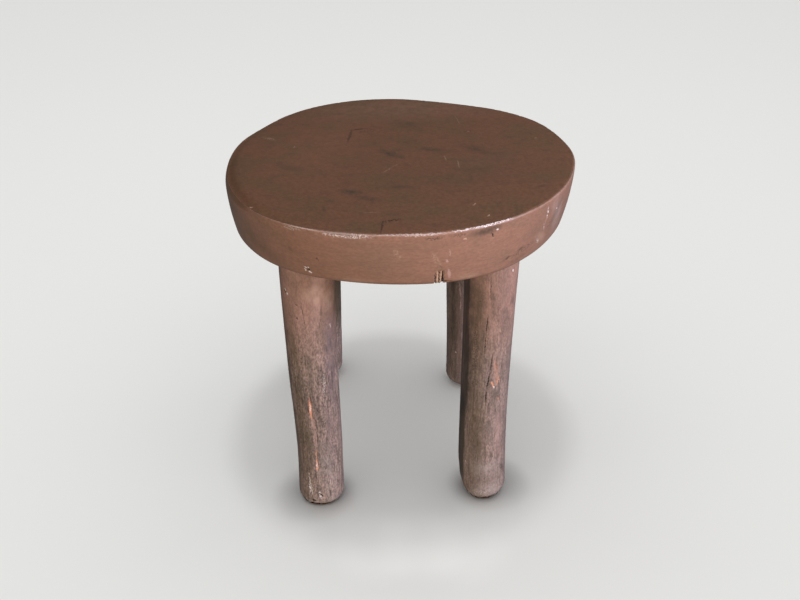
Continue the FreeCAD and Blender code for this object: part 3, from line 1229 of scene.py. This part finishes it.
SEAT_MARKS = read_marks({
    (Tone.OLIVE, Look.SOFT): (
        ((52, -24), (104, -4), 44, 0.25),),
    (Tone.STAIN, Look.RAGGED): (
        ((-42, 62), (-26, 64), 7, 0.5),),
    (Tone.STAIN, Look.SOFT): (
        ((-52, -79), (-34, -86), 15, 0.72), ((-38, -93), (-20, -100), 18, 0.55),
        ((-20, 14), (3, -8), 16, 0.78), ((16, 16), (48, 9), 15, 0.6), ((60, 26), (82, 2), 30, 0.45),
        ((-14, -73), (12, -73), 14, 0.5), ((58, -14), (110, 2), 34, 0.18),
        ((-114, -22), (-90, -34), 20, 0.5), ((-6, 94), (18, 72), 30, 0.4),
        ((-68, -106), (-64, -124), 5, 0.5), ((118, -76), (129, -73), 6, 0.7),
        # The last mark below faintly darkens the front right of the top.
        ((20, -60), (120, -40), 110, 0.16)),
    (Tone.BARE, Look.PLAIN): (
        ((-17, -41), (-9, -30), 1, 0.4), ((-9, -29), (-1, -18), 1, 0.3), ((41, -1), (43, -16), 1.1, 0.32),
        ((53, -12), (54, -34), 1.2, 0.38), ((57, 112), (62, 78), 1, 0.22),
        ((-34, -123), (-16, -123), 0.9, 0.28), ((68, 60), (69, 61), 3.2, 0.6),
        ((-129, -106), (-128, -106), 2.6, 0.7), ((-104, 22), (-103, 26), 1.8, 0.4),
        ((-132, 48), (-127, 48), 1.6, 0.3), ((133, 39), (134, 40), 2.2, 0.45),
        ((60, -112), (63, -107), 1.5, 0.6), ((70, -133), (73, -129), 1.6, 0.75)),
    (Tone.BARE, Look.RAGGED): (
        ((-137, 51), (-124, 43), 6, 0.35),),
    # Painted sheen: a faint pale lift over the rear of the top, where it mirrors the room at a grazing
    # angle.
    (Tone.BARE, Look.SOFT): (
        ((-100, 128), (100, 134), 116, 0.12),),
    (Tone.RAW, Look.SOFT): (
        # The first mark below is painted light: a faint warm lift over the left half of the top.
        ((-110, -70), (-60, 100), 120, 0.06), ((-148, -94), (-134, -108), 16, 0.12),
        ((-127, -120), (-124, -122), 6, 0.35)),
    (Tone.SOOT, Look.PLAIN): (
        ((-52.5, 30), (-48.5, 74), 3.4, 0.46), ((-47, 68), (-37, 71), 4.4, 0.5),
        ((-17.5, -164), (-15.5, -136), 1.8, 0.5), ((67, 60), (70, 61), 6, 0.35)),
    (Tone.SOOT, Look.RAGGED): (
        ((-38, 72), (-27, 69), 4.4, 0.45), ((-17, -141), (-1, -137), 5.6, 0.9)),
}, Face.TOP) + read_marks({
    (Tone.OLIVE, Look.SOFT): (
        ((262, 43), (285, 38), 16, 0.24), ((294, 48), (306, 47), 8, 0.35),
        ((196, 44), (216, 10), 34, 0.45), ((214, 30), (233, 10), 26, 0.4)),
    # Painted shade: a dark band over the left of the rim and the upper side, where the light falls off.
    (Tone.UMBER, Look.BLUNT): (
        ((180, 49.5), (219, 49.5), 13, 0.75),),
    (Tone.UMBER, Look.SOFT): (
        ((188, 42), (219, 34), 26, 0.7), ((204, 24), (232, 12), 30, 0.4)),
    (Tone.ROSE, Look.PLAIN): (
        ((283.4, 36), (283.7, 28), 1.8, 0.45), ((282.6, 25.5), (283.2, 23), 2.4, 0.7),
        ((283.4, 16), (284, 7), 3.4, 0.6)),
    (Tone.ROSE, Look.SOFT): (
        ((321, 48), (331, 28), 12, 0.25), ((320.4, 47), (320, 24), 3.4, 0.5)),
    (Tone.STAIN, Look.PLAIN): (
        ((244.6, 24), (245.2, 21), 1.6, 0.6),),
    (Tone.STAIN, Look.RAGGED): (
        ((276.5, 47), (281, 47.3), 5, 0.7), ((284, 47.5), (288, 47.5), 4, 0.5),
        ((290, 47), (300, 49), 5, 0.6), ((303, 11), (316, 17), 8, 0.45), ((322, 22), (331, 44), 9, 0.45)),
    (Tone.STAIN, Look.SOFT): (
        ((289, 45.5), (300, 48), 11, 0.75), ((232, 29), (241, 26), 7, 0.35),
        ((301, 11.5), (305, 14.5), 4, 0.8), ((307, 16), (311, 19), 5, 0.7), ((300, 4), (316, 10), 8, 0.4),
        ((324, 22), (330, 44), 14, 0.6)),
    (Tone.BARE, Look.BLUNT): (
        ((280.2, 15), (280.4, -2), 1.9, 0.95, 0.4), ((281.2, 15.5), (281.4, -2), 1.6, 0.95, 0.4)),
    (Tone.BARE, Look.PLAIN): (
        # The first mark below lies on the rim's edge: rubbed wear with a painted highlight.
        ((226, 51), (246, 51), 1.5, 0.45), ((287.5, 43.5), (288.4, 43.3), 1.6, 1, 0.3)),
    (Tone.BARE, Look.RAGGED): (
        ((267.6, 38.5), (269, 29), 6, 0.35), ((278.6, 33), (281, 18), 6, 0.4),
        ((280.2, 21), (281.4, 15), 4, 0.45)),
    (Tone.BARE, Look.SOFT): (
        ((249, 4), (263, 4), 11, 0.3), ((286, 4), (293, 5), 11, 0.3),
        ((316.5, 21), (321.5, 13), 17, 0.45)),
    # Painted highlight: the thin near-white line along the rim's front right.
    (Tone.CHALK, Look.BLUNT): (
        ((283, 51.5), (305, 51.5), 0.75, 0.9),),
    (Tone.CHALK, Look.PLAIN): (
        # Both marks on the row below lie on the rim's edge: rubbed wear with a painted highlight.
        ((236, 51), (246, 51), 1.2, 0.35), ((260, 51.4), (286, 51.4), 0.9, 0.4),
        ((240.1, 11.8), (240.4, 10.8), 2.1), ((241.2, 11.6), (241.4, 11), 1.8),
        ((240, 8.6), (240.1, 7.8), 2.2, 1, 0.3), ((241.5, 7), (241.7, 6.3), 2.3),
        ((298, 46), (298.5, 45.5), 1.5, 0.8), ((320.6, 42), (320.7, 40), 1.7),
        ((326.4, 37.6), (326.8, 37), 1.6)),
    (Tone.CHALK, Look.RAGGED): (
        ((246, 49.2), (262, 49.7), 6, 0.75, 0.35), ((234, 48), (241, 48.5), 4, 0.3),
        ((268, 50.5), (284, 50.5), 2.4, 0.5), ((320.2, 47), (320.4, 34), 2.4),
        ((319.2, 31), (319.8, 24), 2, 0.8), ((316.5, 18), (318.5, 12), 3.2, 0.5)),
    # Painted sheen: a whitish lift on the side's far right, facing the key light.
    (Tone.CHALK, Look.SOFT): (
        ((325, 50), (332, 6), 34, 0.15),),
    (Tone.SOOT, Look.BLUNT): (
        ((279.5, 13.5), (279.8, -2), 1, 0.9, 1.4), ((281.7, 14), (282, -2), 1.6, 1, 2)),
    (Tone.SOOT, Look.PLAIN): (
        ((241.2, 9.8), (241.3, 8.2), 2.2, 0.9, 0.8), ((240.7, 10), (240.8, 9.4), 1.1, 0.8),
        ((296.5, 43.5), (296.8, 40), 1.7, 0.8, 0.8), ((280.7, 15), (280.9, -2), 1.1, 1, 2),
        ((282.2, 2.5), (284.2, 2), 2.4, 0.95, 1.4)),
    (Tone.SOOT, Look.RAGGED): (
        ((247, 50.5), (258, 50.5), 3.6, 0.6), ((280, 22), (281.4, 16), 4.4, 0.5)),
})

FRONT_LEFT = Leg(
    place="front_left", lean=(-1.0, -6.0), seed=101,
    girth=(0.960, 0.925, 0.914, 0.930, 0.960, 0.970, 0.995, 1.020),
    bend=(0.0, 0.30, 0.50, 0.05, -0.55, -0.75, -0.75, -0.50),
    outline=(1.0, 0.985, 1.015, 0.990, 1.0, 1.015, 0.980, 1.010),
    marks=read_marks({
        (Tone.OLIVE, Look.SOFT): (
            ((228, 215), (240, 150), 18, 0.6), ((262, 205), (276, 135), 24, 0.4),
            ((236, 190), (243, 10), 26, 0.85), ((300, 222), (304, 188), 14, 0.4)),
        (Tone.MAUVE, Look.SOFT): (
            ((300, 160), (312, 15), 20, 0.6),),
        (Tone.MAUVE, Look.SOFT | Look.BLUNT): (
            ((322, 226), (316, 112), 17, 0.85),),
        (Tone.ROSE, Look.PLAIN): (
            ((264, 114), (266, 98), 5.5, 0.5, 0.3), ((266, 98), (265.5, 76), 5.5, 0.5, 0.3)),
        # Painted highlight on the head's front right, and painted light at its top left where the seat's
        # shadow falls.
        (Tone.ROSE, Look.SOFT): (
            ((299, 296), (291, 222), 16), ((309, 296), (303, 238), 14),
            ((240, 292), (266, 276), 26, 0.5)),
        (Tone.STAIN, Look.PLAIN): (
            ((258, 242), (262, 229), 1.5, 0.42, 0.4), ((262, 229), (266, 210), 1.3, 0.42, 0.4),
            ((303, 238), (300, 226), 2, 0.45, 0.4), ((300, 226), (294, 214), 1.6, 0.45, 0.4)),
        (Tone.STAIN, Look.SOFT): (
            ((205, 275), (210, 30), 10, 0.55), ((272, 145), (285, 90), 9, 0.5)),
        (Tone.BARE, Look.PLAIN): (
            ((258.5, 153), (260, 138), 1.3, 0.5),),
        (Tone.RAW, Look.PLAIN): (
            ((261.5, 139), (261.5, 110), 3.2, 0.95, 0.4), ((264.6, 78), (265, 60), 2, 0.85, 0.25),
            ((264.8, 63), (265.5, 48), 3.4, 1, 0.4)),
        # Painted light: a pale band round the head, lifting the seat's cast shadow.
        (Tone.RAW, Look.SOFT): (
            ((280, 250), (304, 246), 26, 0.3), ((304, 246), (342, 238), 26, 0.26)),
        (Tone.CHALK, Look.PLAIN): (
            ((261.2, 131), (261.2, 121), 1.4, 0.6), ((264.8, 60), (265.3, 51), 1.9, 0.85),
            ((223.5, 253.4), (224.5, 252.8), 2.2, 1, 0.3), ((227.5, 250.6), (229, 249.4), 2.8, 1, 0.4),
            ((324, 215), (324.5, 211), 1.6, 0.5)),
        (Tone.CHALK, Look.RAGGED): (
            ((242.5, 44), (243.5, 30), 3.2, 1, 0.3), ((244, 31), (247.5, 18), 6, 1, 0.4),
            ((255, 7), (263, 7.5), 3.4), ((267, 23), (271, 12), 3.6, 0.8),
            ((299, 168), (298, 138), 3, 0.55)),
        (Tone.CHALK, Look.SOFT): (
            # The two marks on the row below are painted light round the head, lifting the seat's cast
            # shadow.
            ((278, 252), (304, 246), 26, 0.22), ((304, 246), (342, 236), 26, 0.24),
            ((285, 90), (298, 5), 34, 0.14)),
        (Tone.SOOT, Look.PLAIN): (
            ((268.5, 112), (272, 98), 1.5, 0.6, 0.3), ((272, 98), (270.5, 78), 1.5, 0.6, 0.3),
            ((225, 251.4), (226, 250.4), 2, 0.9, 0.5), ((220, 251.5), (221, 249.5), 2.2, 0.75, 0.4),
            ((248, 240.5), (249.5, 239.5), 2, 0.65, 0.4), ((247, 226.5), (248.5, 225), 2.2, 0.65, 0.4),
            ((249, 9), (255, 8), 3.8, 1, 1.6), ((271.5, 17), (274.5, 15), 2.6, 1, 1.2),
            ((278, 125), (280, 121), 1.8, 0.7, 0.4)),
        (Tone.SOOT, Look.RAGGED): (
            ((240, 50), (242, 45), 3.4, 0.75), ((237, 26), (241, 20), 3.4, 0.7),
            ((295, 168), (294.5, 145), 3.6, 0.8), ((286, 112), (292, 102), 2.4, 0.7, 0.3)),
    }))

FRONT_RIGHT = Leg(
    place="front_right", lean=(1.0, -2.0), seed=211, foot_rounding=16.5, worn_corner=True,
    girth=(0.988, 0.975, 0.948, 0.932, 0.937, 0.943, 0.965, 0.995),
    bend=(0.03, -0.55, -0.98, -0.96, -0.78, -0.45, -0.02, 0.42),
    outline=(1.0, 1.010, 0.985, 1.015, 1.0, 0.980, 1.005, 0.990),
    marks=read_marks({
        (Tone.OLIVE, Look.SOFT): (
            ((236, 290), (244, 150), 26, 0.7), ((246, 170), (258, 20), 26, 0.75)),
        (Tone.MAUVE, Look.SOFT): (
            ((300, 290), (300, 205), 24, 0.3),),
        (Tone.ROSE, Look.SOFT): (
            ((303, 125), (313, 50), 15, 0.5),),
        (Tone.STAIN, Look.BLUNT): (
            ((198, 130), (200, 24), 15, 0.8),),
        (Tone.STAIN, Look.RAGGED): (
            ((235, 235), (232, 120), 10, 0.55),),
        (Tone.STAIN, Look.RAGGED | Look.SOFT): (
            ((246, 262), (240, 215), 9, 0.4), ((284, 250), (282, 200), 7, 0.35),
            ((301, 240), (300, 190), 7, 0.35)),
        (Tone.STAIN, Look.SOFT): (
            ((272, 262), (272, 222), 8, 0.35), ((225, 160), (226, 100), 12, 0.5),
            ((315, 48), (332, 35), 10, 0.85), ((276, 110), (279, 100), 5, 0.7),
            ((288, 145), (297, 130), 10, 0.55)),
        (Tone.STAIN, Look.SOFT | Look.BLUNT): (
            ((212, 290), (220, 100), 16, 0.6),),
        (Tone.BARE, Look.PLAIN): (
            ((262.6, 216), (260.8, 190), 1, 0.45), ((290.5, 212), (291.5, 208), 2, 0.6)),
        (Tone.RAW, Look.PLAIN): (
            ((297.5, 159), (294.5, 148.5), 2.3, 0.9, 0.4), ((279.5, 153.5), (286.5, 146), 2.7, 0.95, 0.4),
            ((299, 133), (301, 129), 2, 0.5, 0.4)),
        (Tone.RAW, Look.SOFT): (
            ((283, 179), (286, 165), 3.2, 0.5), ((286, 178), (292, 150), 9, 0.35)),
        (Tone.CHALK, Look.PLAIN): (
            ((286.5, 147), (287.5, 145.5), 1.5, 0.8), ((221.5, 51), (222.5, 49.5), 1.6),
            ((313.5, 270), (314.5, 268.5), 1.9)),
        (Tone.CHALK, Look.RAGGED): (
            ((238, 13), (325, 13), 18, 0.3),),
        (Tone.CHALK, Look.SOFT): (
            ((256, 46), (304, 44), 40, 0.17), ((250, 18), (312, 22), 28, 0.22)),
        (Tone.SOOT, Look.BLUNT): (
            ((195, 300), (198, 205), 16, 0.66), ((198, 225), (201, 105), 19, 0.62)),
        (Tone.SOOT, Look.PLAIN): (
            ((260.8, 227), (259.6, 206), 1, 0.8, 0.5), ((259.6, 206), (258.3, 185), 0.8, 0.8, 0.5),
            ((277.6, 185), (274, 164), 1.1, 0.9, 0.9), ((274, 164), (268.8, 145), 1.5, 0.9, 0.9),
            ((268.8, 145), (267, 127), 1.1, 0.9, 0.9), ((262.4, 267), (264.8, 242), 1.2, 0.5, 0.4),
            ((280.5, 237), (281.5, 229), 1.3, 0.45, 0.4)),
        (Tone.SOOT, Look.RAGGED): (
            ((224, 52), (227, 49), 2.6, 0.6), ((316, 46), (330, 36), 5, 0.6)),
    }))

REAR_LEFT = Leg(
    place="rear_left", lean=(-7.0, 19.0), seed=307,
    girth=(1.000, 0.985, 0.975, 0.975, 0.980, 0.990, 1.000, 1.010),
    bend=(0.0, 0.30, 0.45, 0.60, 0.70, 0.60, 0.40, 0.2),
    outline=(1.0, 0.990, 0.985, 1.010, 1.0, 1.010, 0.990, 1.015),
    marks=read_marks({
        # Painted shade: a dark strip down the leg's right side, which is in shade.
        (Tone.OLIVE, Look.BLUNT): (
            ((345, 292), (345, 80), 34, 0.95),),
        (Tone.OLIVE, Look.SOFT): (
            ((150, 220), (140, 40), 30, 0.8),),
        (Tone.STAIN, Look.SOFT): (
            # The first mark below is painted shade down the leg's right side.
            ((345, 288), (345, 85), 20, 0.4), ((200, 200), (206, 60), 16, 0.6)),
        (Tone.CHALK, Look.PLAIN): (
            ((95, 120), (96, 90), 1.6, 0.7, 0.3),),
        (Tone.SOOT, Look.PLAIN): (
            ((130, 210), (133, 165), 1.6, 0.8, 0.8),),
    }))

REAR_RIGHT = Leg(
    place="rear_right", lean=(1.0, -10.0), seed=401,
    girth=(0.965, 0.955, 0.950, 0.955, 0.960, 0.970, 0.985, 1.010),
    bend=(0.0, 0.15, 0.10, -0.25, -0.50, -0.45, -0.20, 0.0),
    outline=(1.0, 1.015, 0.990, 0.985, 1.0, 0.990, 1.015, 0.985),
    marks=read_marks({
        (Tone.OLIVE, Look.SOFT): (
            ((60, 230), (80, 60), 28, 0.7),),
        # Painted shade: darkens the leg's front, in the seat's shade.
        (Tone.OLIVE, Look.SOFT | Look.BLUNT): (
            ((245, 290), (245, 20), 40, 0.6),),
        (Tone.ROSE, Look.PLAIN): (
            ((245.5, 142), (247.5, 124), 2.6, 0.8), ((247.5, 124), (249.5, 107), 2.2, 0.8)),
        (Tone.ROSE, Look.SOFT | Look.BLUNT): (
            ((246, 135), (250, 8), 12, 0.3),),
        # Painted shade: darkens the leg's front, in the seat's shade.
        (Tone.STAIN, Look.SOFT): (
            ((240, 290), (240, 20), 34, 0.25),),
        (Tone.CHALK, Look.PLAIN): (
            ((233, 50), (235, 48), 2.2, 1, 0.4),),
        (Tone.CHALK, Look.RAGGED): (
            ((225, 9.5), (227, 8.5), 2.2),),
        (Tone.SOOT, Look.PLAIN): (
            ((212, 79), (214, 73), 2.4, 0.8, 0.4), ((60, 190), (64, 150), 1.5, 0.8, 0.8)),
        # Painted shade: darkens the leg's front, in the seat's shade.
        (Tone.SOOT, Look.SOFT): (
            ((222, 290), (222, 20), 11, 0.45),),
    }))

LEGS = (FRONT_LEFT, FRONT_RIGHT, REAR_LEFT, REAR_RIGHT)

MARK_TONES = {
    Tone.OLIVE: (0.128, 0.088, 0.058),
    Tone.UMBER: (0.160, 0.080, 0.036),
    Tone.MAUVE: (0.165, 0.112, 0.108),
    Tone.ROSE: (0.500, 0.300, 0.260),
    Tone.STAIN: (0.050, 0.039, 0.028),
    Tone.BARE: (0.480, 0.300, 0.210),
    Tone.RAW: (0.640, 0.270, 0.160),
    Tone.CHALK: (0.780, 0.660, 0.620),
    Tone.SOOT: (0.018, 0.013, 0.012),
}

# The seat's worn colour lies along its rim as rubbed wear with a painted highlight.
SEAT_WOOD = AgedWood(
    name="seat_wood", slot="seat_wood", body=(0.294, 0.148, 0.099), streak=(0.272, 0.138, 0.094),
    smudge=(0.250, 0.134, 0.090), smooth_body=(0.172, 0.078, 0.040), smooth_smudge=(0.146, 0.077, 0.038),
    worn=(0.44, 0.30, 0.25), grain=(30.0, 9.0, 3.2), fleck=(3.4, 2.6, 1.5), flecks=(0.09, 0.12),
    roughness=(0.34, 0.46), relief=0.06, drift=(44.0, 34.0, 26.0), polish=0.20, blots=0.22,
    dullness=0.22, sheen=0.28)

LEG_WOOD = AgedWood(
    name="leg_wood", slot="leg_wood", body=(0.308, 0.210, 0.174), streak=(0.188, 0.129, 0.106),
    smudge=(0.186, 0.131, 0.108), smooth_body=(0.350, 0.194, 0.148), smooth_smudge=(0.265, 0.152, 0.116),
    worn=(0.46, 0.36, 0.32), grain=(2.4, 2.4, 20.0), fleck=(1.3, 1.3, 2.8), flecks=(0.40, 0.13),
    roughness=(0.48, 0.64), relief=0.26, drift=(15.0, 15.0, 34.0), crevices=0.80, blots=0.20)

CALM_LEG_WOOD = replace(
    LEG_WOOD, name="calm_leg_wood", body=(0.292, 0.199, 0.166), smudge=(0.206, 0.143, 0.120),
    flecks=(0.26, 0.17), relief=0.20, crevices=0.55, blots=0.34)

LEG_FINISHES = {"front_left": LEG_WOOD, "front_right": CALM_LEG_WOOD, "rear_left": LEG_WOOD,
                "rear_right": CALM_LEG_WOOD}

WEDGE_WOOD = AgedWood(
    name="wedge_wood", slot="wedge_wood", body=(0.52, 0.36, 0.22), streak=(0.42, 0.28, 0.17),
    smudge=(0.48, 0.33, 0.20), smooth_body=(0.50, 0.35, 0.22), smooth_smudge=(0.44, 0.30, 0.18),
    worn=(0.52, 0.36, 0.22), grain=(2.0, 2.0, 14.0), fleck=(1.0, 1.0, 3.0), flecks=(0.15, 0.15),
    roughness=(0.55, 0.70), relief=0.10)


@dataclass
class Stool:
    """The whole stool: the seat, the four legs and their hidden wedges."""

    seat: Seat
    pole: Pole

    def build(self) -> None:
        """Makes and dresses every piece."""
        seat = self.seat.build()
        SEAT_WOOD.dress(seat, SEAT_MARKS, self.seat.radius)
        log.info("seat: %d vertices", len(seat.data.vertices))
        for leg in LEGS:
            made = self.pole.build(leg)
            LEG_FINISHES[leg.place].dress(made, leg.marks, self.pole.radius)
            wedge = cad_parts["wedge_" + leg.place]
            WEDGE_WOOD.dress(wedge, (), self.pole.radius)
            log.info("leg and wedge %s: %d vertices", leg.place, len(made.data.vertices))


@dataclass(frozen=True)
class Floor:
    """A pale seamless sheet: flat under the stool and swept up into a wall all round, well away from it."""

    middle: float = 0.5
    margin: float = 0.2
    flat: float = 2.9
    bend: float = 1.5
    wall: float = 4.5
    bend_rings: int = 25
    columns: int = 96
    colour: Colour = (0.80, 0.80, 0.785)

    def build(self) -> bpy.types.Object:
        """Lays the sheet at the feet's lowest point.

        Formula: at angle a of its bend the sheet is bend sin a outside its flat part and
        bend (1 - cos a) up.

        Returns:
            The floor.
        """
        angle = np.linspace(0, math.pi / 2, self.bend_rings)
        out = np.concatenate(((self.middle, self.flat - self.margin),
                              self.flat + self.bend * np.sin(angle), (self.flat + self.bend,)))
        up = np.concatenate(((0.0, 0.0), self.bend * (1 - np.cos(angle)), (self.wall,)))
        turn = np.arange(self.columns) / self.columns * math.tau
        points = rings_about((0.0, 0.0), out[:, None], turn, up[:, None])
        numbers = vertex_numbers(ring_faces(len(out), self.columns)[:, ::-1], self.columns)
        mesh = bpy.data.meshes.new("floor")
        mesh.from_pydata(points.reshape(-1, 3), [], numbers.tolist() + [list(range(self.columns))])
        mesh.shade_smooth()
        floor = add_object("floor", mesh)
        bench = Bench("floor_paper")
        paper = bench.node("ShaderNodeBsdfPrincipled", {
            "Base Color": (*self.colour, 1.0), "Roughness": 1.0, "Specular IOR Level": 0.0})
        bench.node("ShaderNodeOutputMaterial", {"Surface": paper.outputs[0]})
        mesh.materials.append(bench.material)
        floor.visible_diffuse = False
        floor.visible_glossy = False
        floor.visible_shadow = False
        return floor


@dataclass(frozen=True)
class SoftLamp:
    """A square lamp that looks at a place from a bearing and an elevation, both in degrees."""

    name: str
    bearing: float
    elevation: float
    distance: float
    side: float
    watts: float
    colour: Colour = (1.0, 1.0, 1.0)
    mirrored: bool = True

    def hang(self, target: Vector) -> bpy.types.Object:
        """Hangs the lamp.

        Args:
            target: The place that it looks at, in metres.

        Returns:
            The lamp.
        """
        data = bpy.data.lights.new(self.name, "AREA")
        data.energy = self.watts
        data.size = self.side
        data.color = self.colour
        lamp = add_object(self.name, data)
        level = math.cos(math.radians(self.elevation)) * self.distance
        turn = math.radians(self.bearing)
        away = Vector((level * math.cos(turn), level * math.sin(turn),
                       math.sin(math.radians(self.elevation)) * self.distance))
        lamp.location = target + away
        lamp.rotation_euler = away.to_track_quat("Z", "Y").to_euler()
        lamp.visible_glossy = self.mirrored
        return lamp


@dataclass(frozen=True)
class Studio:
    """The room's light: soft lamps on the stool, lights of the floor's own, and a dim dome.

    A foot's shade is a lamp that takes light away, at a shift in metres from the middle of the leg's box.
    """

    lamps: Tuple[SoftLamp, ...] = (
        SoftLamp("key", 328.0, 33.0, 2.4, 0.55, 47.0, (0.95, 1.0, 1.30)),
        SoftLamp("fill", 274.0, 15.0, 3.0, 1.8, 65.0, (1.0, 0.93, 0.80), mirrored=False),
        SoftLamp("back", 95.0, 12.0, 3.0, 1.6, 27.0, mirrored=False),
    )
    floor_lamp: SoftLamp = SoftLamp("floor_lamp", 0.0, 90.0, 2.4, 0.22, 8.0)
    dome: float = 0.16
    seat_sky: float = 1.60
    legs_sky: float = 0.66
    sky_angle: float = 150.0
    foot_shade: float = -0.75
    foot_shades: Tuple[Tuple[Leg, Place], ...] = (
        (FRONT_LEFT, (-0.008, -0.007)), (FRONT_RIGHT, (0.011, 0.005)))
    shade_reach: float = 0.049
    front_glow: float = 0.23
    glow_places: Tuple[Place, ...] = ((-0.027, -0.183), (0.015, -0.181), (0.056, -0.184))
    glow_reach: float = 0.055
    spot_height: float = 0.3
    target: Tuple[float, float, float] = (0.0, 0.0, 0.2)

    def light(self, floor: bpy.types.Object) -> None:
        """Hangs every lamp, with the floor lit only by its own lamps and by the dome.

        Args:
            floor: The floor, which the stool's lamps leave out.
        """
        world = bpy.data.worlds.new("dome")
        world.use_nodes = True
        background = world.node_tree.nodes["Background"]
        background.inputs["Color"].default_value = (1.0, 1.0, 1.0, 1.0)
        background.inputs["Strength"].default_value = self.dome
        bpy.context.scene.world = world
        all_but_floor = self.receivers("all_but_floor", floor, "EXCLUDE")
        only_floor = self.receivers("only_floor", floor, "INCLUDE")
        for lamp in self.lamps:
            lamp.hang(Vector(self.target)).light_linking.receiver_collection = all_but_floor
        legs = bpy.data.collections.new("legs_only")
        for leg in LEGS:
            legs.objects.link(bpy.data.objects["carved_leg_" + leg.place])
        self.sky("floor_sky", self.seat_sky).light_linking.receiver_collection = only_floor
        low_sky = self.sky("floor_sky_under", self.legs_sky)
        low_sky.light_linking.receiver_collection = only_floor
        low_sky.light_linking.blocker_collection = legs
        lamp = self.floor_lamp.hang(Vector((0.0, 0.0, 0.0)))
        lamp.light_linking.receiver_collection = only_floor
        spots = []
        for leg, shift in self.foot_shades:
            foot = middle_of("leg_" + leg.place)
            spots.append(self.spot("shade_" + leg.place, (foot.x + shift[0], foot.y + shift[1]),
                                   self.foot_shade, self.shade_reach))
        for number, place in enumerate(self.glow_places):
            spots.append(self.spot(f"glow_{number}", place, self.front_glow, self.glow_reach))
        for spot in spots:
            spot.light_linking.receiver_collection = only_floor
            spot.light_linking.blocker_collection = only_floor

    def spot(self, name: str, place: Place, watts: float, reach: float) -> bpy.types.Object:
        """A round soft spot straight above a place on the floor. Negative watts take light away.

        Formula: the cone reaches r at the floor from the height h, so it is 2 atan(r / h) wide.

        Args:
            name: The lamp's name.
            place: Where it shines, as x and y in metres.
            watts: Its strength.
            reach: The spot's radius on the floor.

        Returns:
            The lamp.
        """
        data = bpy.data.lights.new(name, "SPOT")
        data.energy = watts
        data.shadow_soft_size = 0.0
        data.spot_size = 2 * math.atan(reach / self.spot_height)
        data.spot_blend = 1.0
        spot = add_object(name, data)
        spot.location = (*place, self.spot_height)
        return spot

    def sky(self, name: str, strength: float) -> bpy.types.Object:
        """A wide soft light from straight above.

        Args:
            name: The lamp's name.
            strength: Its strength in watts per square metre.

        Returns:
            The lamp.
        """
        data = bpy.data.lights.new(name, "SUN")
        data.energy = strength
        data.angle = math.radians(self.sky_angle)
        return add_object(name, data)

    @staticmethod
    def receivers(name: str, floor: bpy.types.Object, state: str) -> bpy.types.Collection:
        """A collection that tells a lamp to light the floor only, or everything but the floor.

        Args:
            name: The collection's name.
            floor: The floor.
            state: INCLUDE for the floor only, EXCLUDE for all but the floor.

        Returns:
            The collection.
        """
        collection = bpy.data.collections.new(name)
        collection.objects.link(floor)
        collection.collection_objects[0].light_linking.link_state = state
        return collection


@dataclass(frozen=True)
class PhotographCamera:
    """The camera, where the photograph's lines of sight meet, in metres and degrees."""

    place: Tuple[float, float, float] = (-0.00443, -0.80176, 0.6594)
    down: float = 31.49
    roll: float = -0.7116
    lens: float = 40.5
    sensor: float = 36.0
    shift: float = 0.0027
    nearest: float = 0.01

    def set_up(self) -> None:
        """Makes the camera and looks through it."""
        data = bpy.data.cameras.new("photograph")
        data.lens = self.lens
        data.sensor_width = self.sensor
        data.shift_x = self.shift
        data.clip_start = self.nearest
        camera = add_object("photograph", data)
        camera.location = self.place
        looking = Euler((math.radians(90 - self.down), 0, 0)).to_matrix()
        rolled = Euler((0, 0, math.radians(self.roll))).to_matrix()
        camera.rotation_euler = (looking @ rolled).to_euler()
        bpy.context.scene.camera = camera


def main() -> None:
    """Builds the stool and its room, and hands the scene over."""
    logging.basicConfig(level=logging.INFO)
    bpy.context.scene.view_settings.view_transform = "Standard"
    Stool(Seat(), Pole()).build()
    floor = Floor().build()
    Studio().light(floor)
    PhotographCamera().set_up()


if __name__ == "__main__":
    main()
